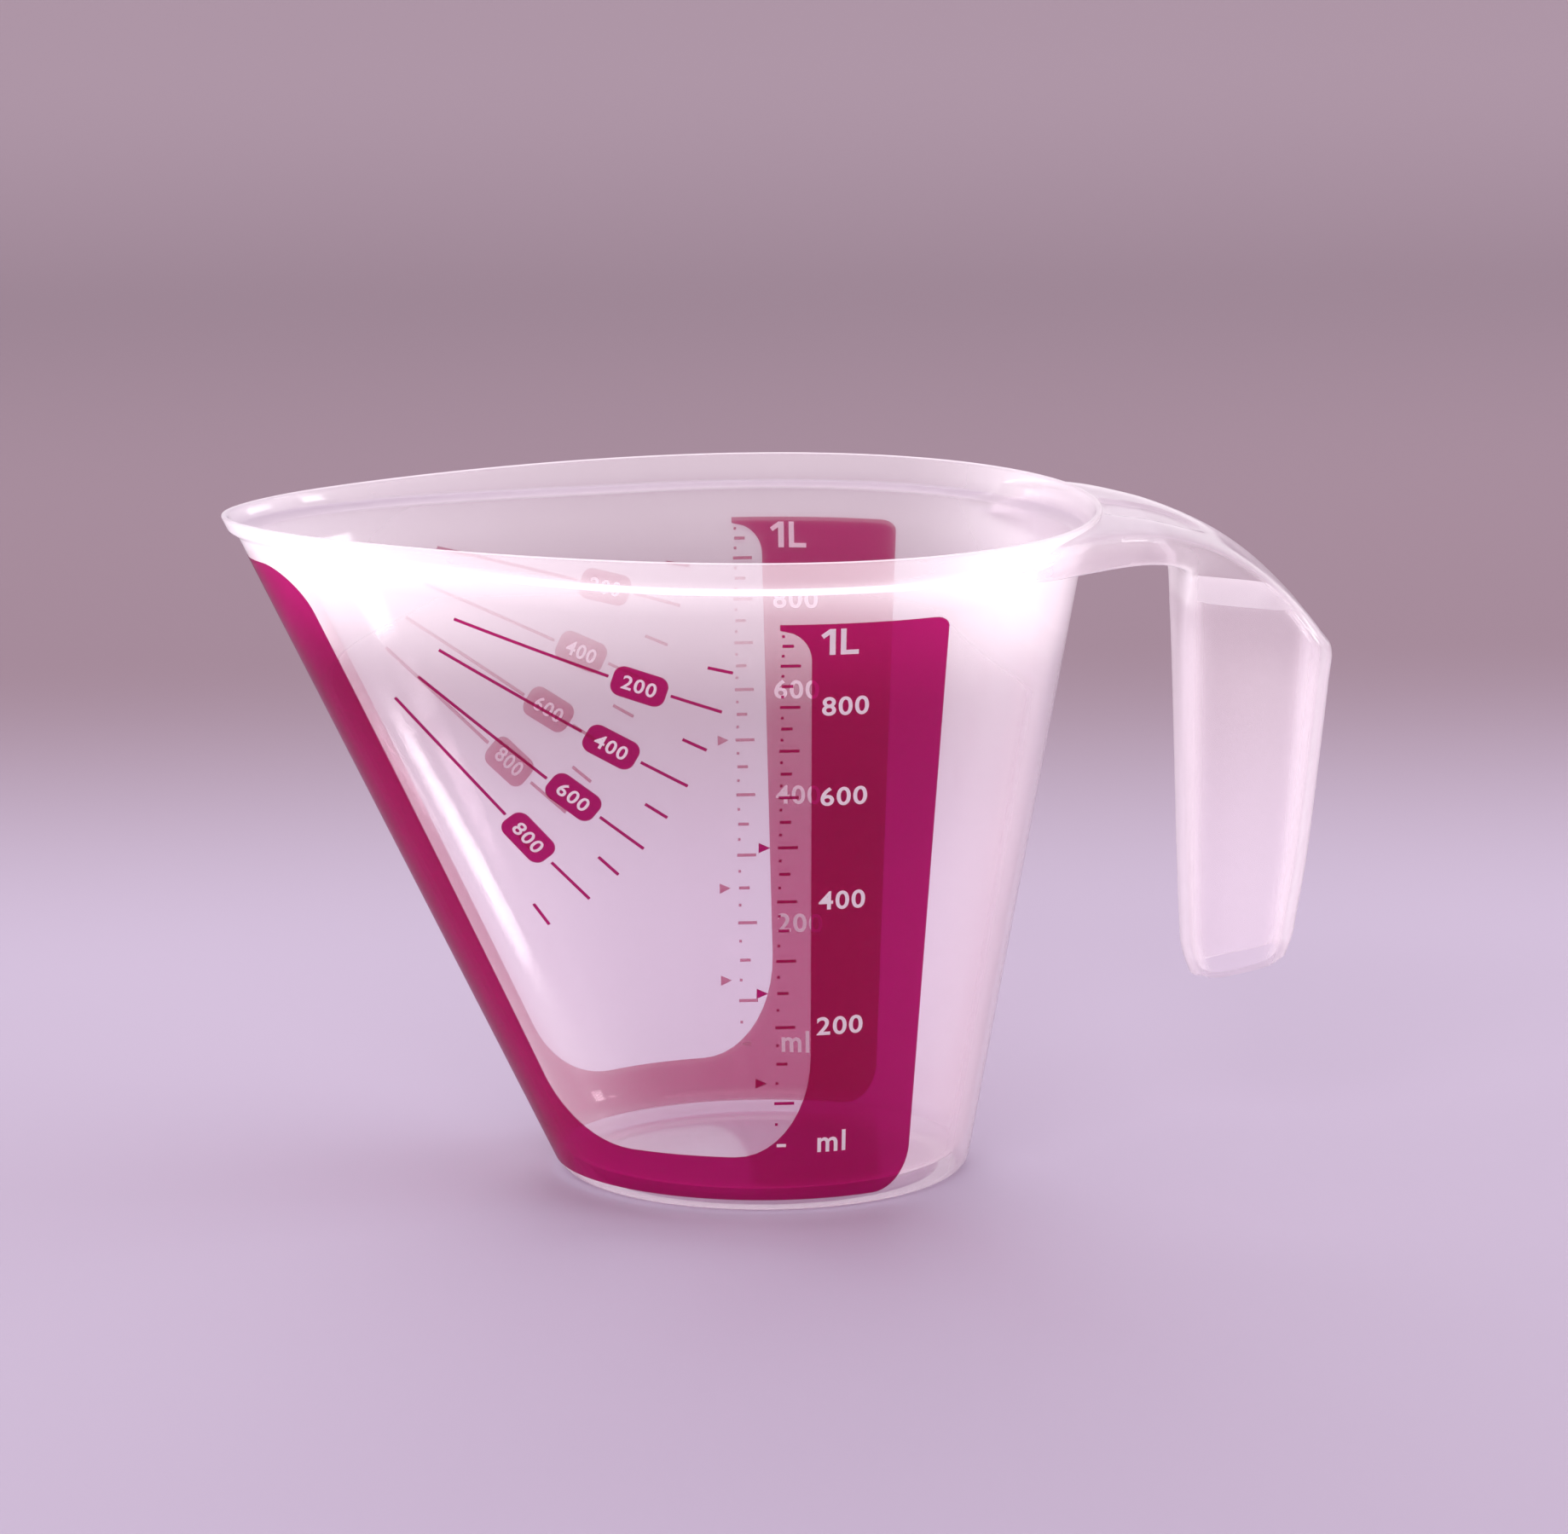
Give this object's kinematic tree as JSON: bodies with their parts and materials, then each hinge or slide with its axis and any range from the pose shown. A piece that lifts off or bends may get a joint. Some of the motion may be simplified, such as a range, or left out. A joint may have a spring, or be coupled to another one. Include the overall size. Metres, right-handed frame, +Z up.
{
  "type": "measuring jug",
  "caption": "Clear plastic one-litre measuring jug with a pointed spout, a stepped rim collar, a hanging open-ended grip and a wrap-round printed scale label.",
  "frame": {"origin": "on the surface the jug stands on, at the middle of its overall length and width", "axes": "+X towards the grip and -X towards the spout, +Y across the jug, +Z up out of its mouth"},
  "size_m": [0.2192, 0.1214, 0.1338],
  "materials": {
    "clear_polypropylene": "clear, slightly milky moulded polypropylene with a smooth gloss",
    "printed_film": "clear in-mould film printed in a deep magenta, with clear numerals and windows"
  },
  "bodies": {
    "root": {"jug_moulding": "clear_polypropylene", "label_film": "printed_film"}
  },
  "joints": []
}
